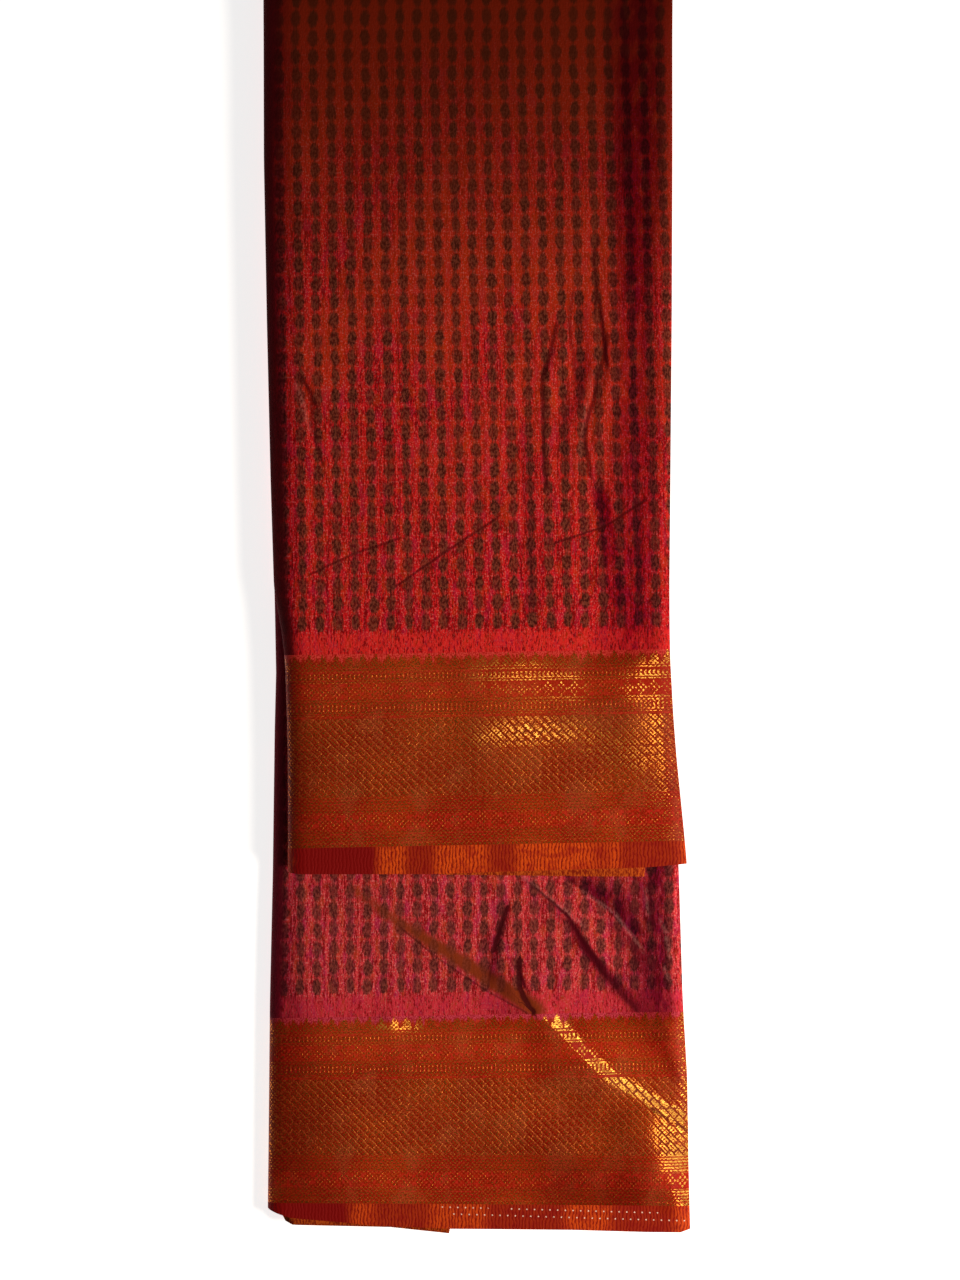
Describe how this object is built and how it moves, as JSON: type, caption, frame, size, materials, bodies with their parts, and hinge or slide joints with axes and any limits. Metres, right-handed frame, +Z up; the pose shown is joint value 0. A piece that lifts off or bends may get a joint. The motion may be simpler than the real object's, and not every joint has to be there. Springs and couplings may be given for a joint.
{
  "type": "folded sari",
  "caption": "Sari folded in a book fold and once across, a short flap lying on a long one, with beaded field and gold borders.",
  "frame": {"origin": "centre of the bounding box in plan, on the surface that the sari lies on", "axes": "+X across the flaps, away from the rounded fold, +Y along the flaps towards the turn across, +Z up"},
  "size_m": [0.2265, 0.6832, 0.0264],
  "materials": {
    "beaded_field": "woven silk and cotton, crimson with brown beads, soft sheen",
    "gold_border": "flat gold thread woven over red silk, glints where it tilts to the light",
    "plain_selvedge": "plain orange silk with dyed red patches",
    "folded_layers": "edges of the same cloth, folded in many layers"
  },
  "bodies": {
    "root": {"upper_field": "beaded_field", "upper_border": "gold_border", "upper_selvedge": "plain_selvedge", "turn": "beaded_field", "lower_field": "beaded_field", "lower_border": "gold_border", "lower_selvedge": "plain_selvedge", "hidden_layers": "folded_layers"}
  },
  "joints": []
}
